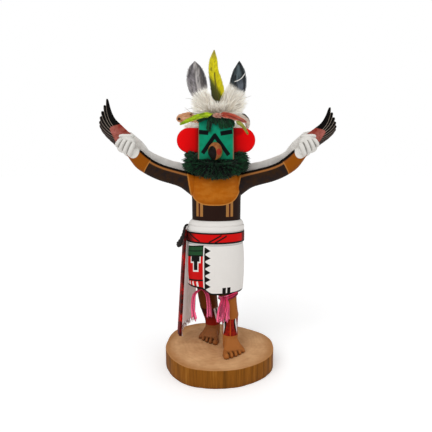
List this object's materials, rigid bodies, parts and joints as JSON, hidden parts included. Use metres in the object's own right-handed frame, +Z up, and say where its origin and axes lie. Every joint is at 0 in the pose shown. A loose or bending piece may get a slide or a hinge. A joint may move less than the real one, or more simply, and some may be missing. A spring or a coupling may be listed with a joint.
{
  "type": "kachina doll",
  "caption": "Carved and painted wooden kachina doll with raised feathered wings, a masked head and a feather crest, in kilt and sash, standing on a slice of log as a shelf ornament.",
  "frame": {"origin": "middle of the log slice's flat underside, on the surface that it stands on", "axes": "+Z up; the doll faces -Y; +X is the doll's own left"},
  "size_m": [0.2903, 0.1229, 0.3765],
  "materials": {
    "log_wood": "bare, lightly varnished log slice with streaked bark-free side",
    "painted_body": "satin paint in brown, ochre, turquoise, white, red and black",
    "painted_arm": "satin brown and ochre paint, white fists",
    "painted_wing": "satin paint, grey-white to near black with fine feather lines",
    "painted_ear": "satin red paint, darker towards the rim",
    "painted_beak": "satin black and brown paint",
    "green_yarn": "spiky cut yarn, matte",
    "grey_feather": "barbed feather, soft sheen",
    "yellow_feather": "barbed feather, soft sheen",
    "slate_feather": "barbed feather, soft sheen",
    "white_down": "loose down, matte",
    "rust_feather": "barbed feather, soft sheen",
    "lime_feather": "barbed feather, soft sheen",
    "olive_feather": "barbed feather, soft sheen",
    "tan_feather": "barbed feather, soft sheen",
    "painted_sash": "satin red, black and white paint",
    "black_cord": "thin waxed cord with a knotted end",
    "pink_yarn": "loose strands of wool yarn"
  },
  "bodies": {
    "root": {"base_slice": "log_wood", "figure": "painted_body", "arm_right": "painted_arm", "arm_left": "painted_arm", "wing_right": "painted_wing", "wing_left": "painted_wing", "ear_right": "painted_ear", "ear_left": "painted_ear", "beak": "painted_beak", "neck_ruff": "green_yarn", "hair_fringe": "green_yarn", "feather_grey": "grey_feather", "feather_yellow": "yellow_feather", "feather_slate": "slate_feather", "down_tuft": "white_down", "down_right": "white_down", "down_left": "white_down", "feather_rust": "rust_feather", "feather_lime": "lime_feather", "feather_olive": "olive_feather", "plume_tan_right": "tan_feather", "plume_tan_left": "tan_feather", "plume_tan_back": "tan_feather", "side_sash": "painted_sash", "belt_tie_end": "black_cord", "leg_tie_left": "pink_yarn", "leg_tie_right": "pink_yarn"}
  },
  "joints": []
}
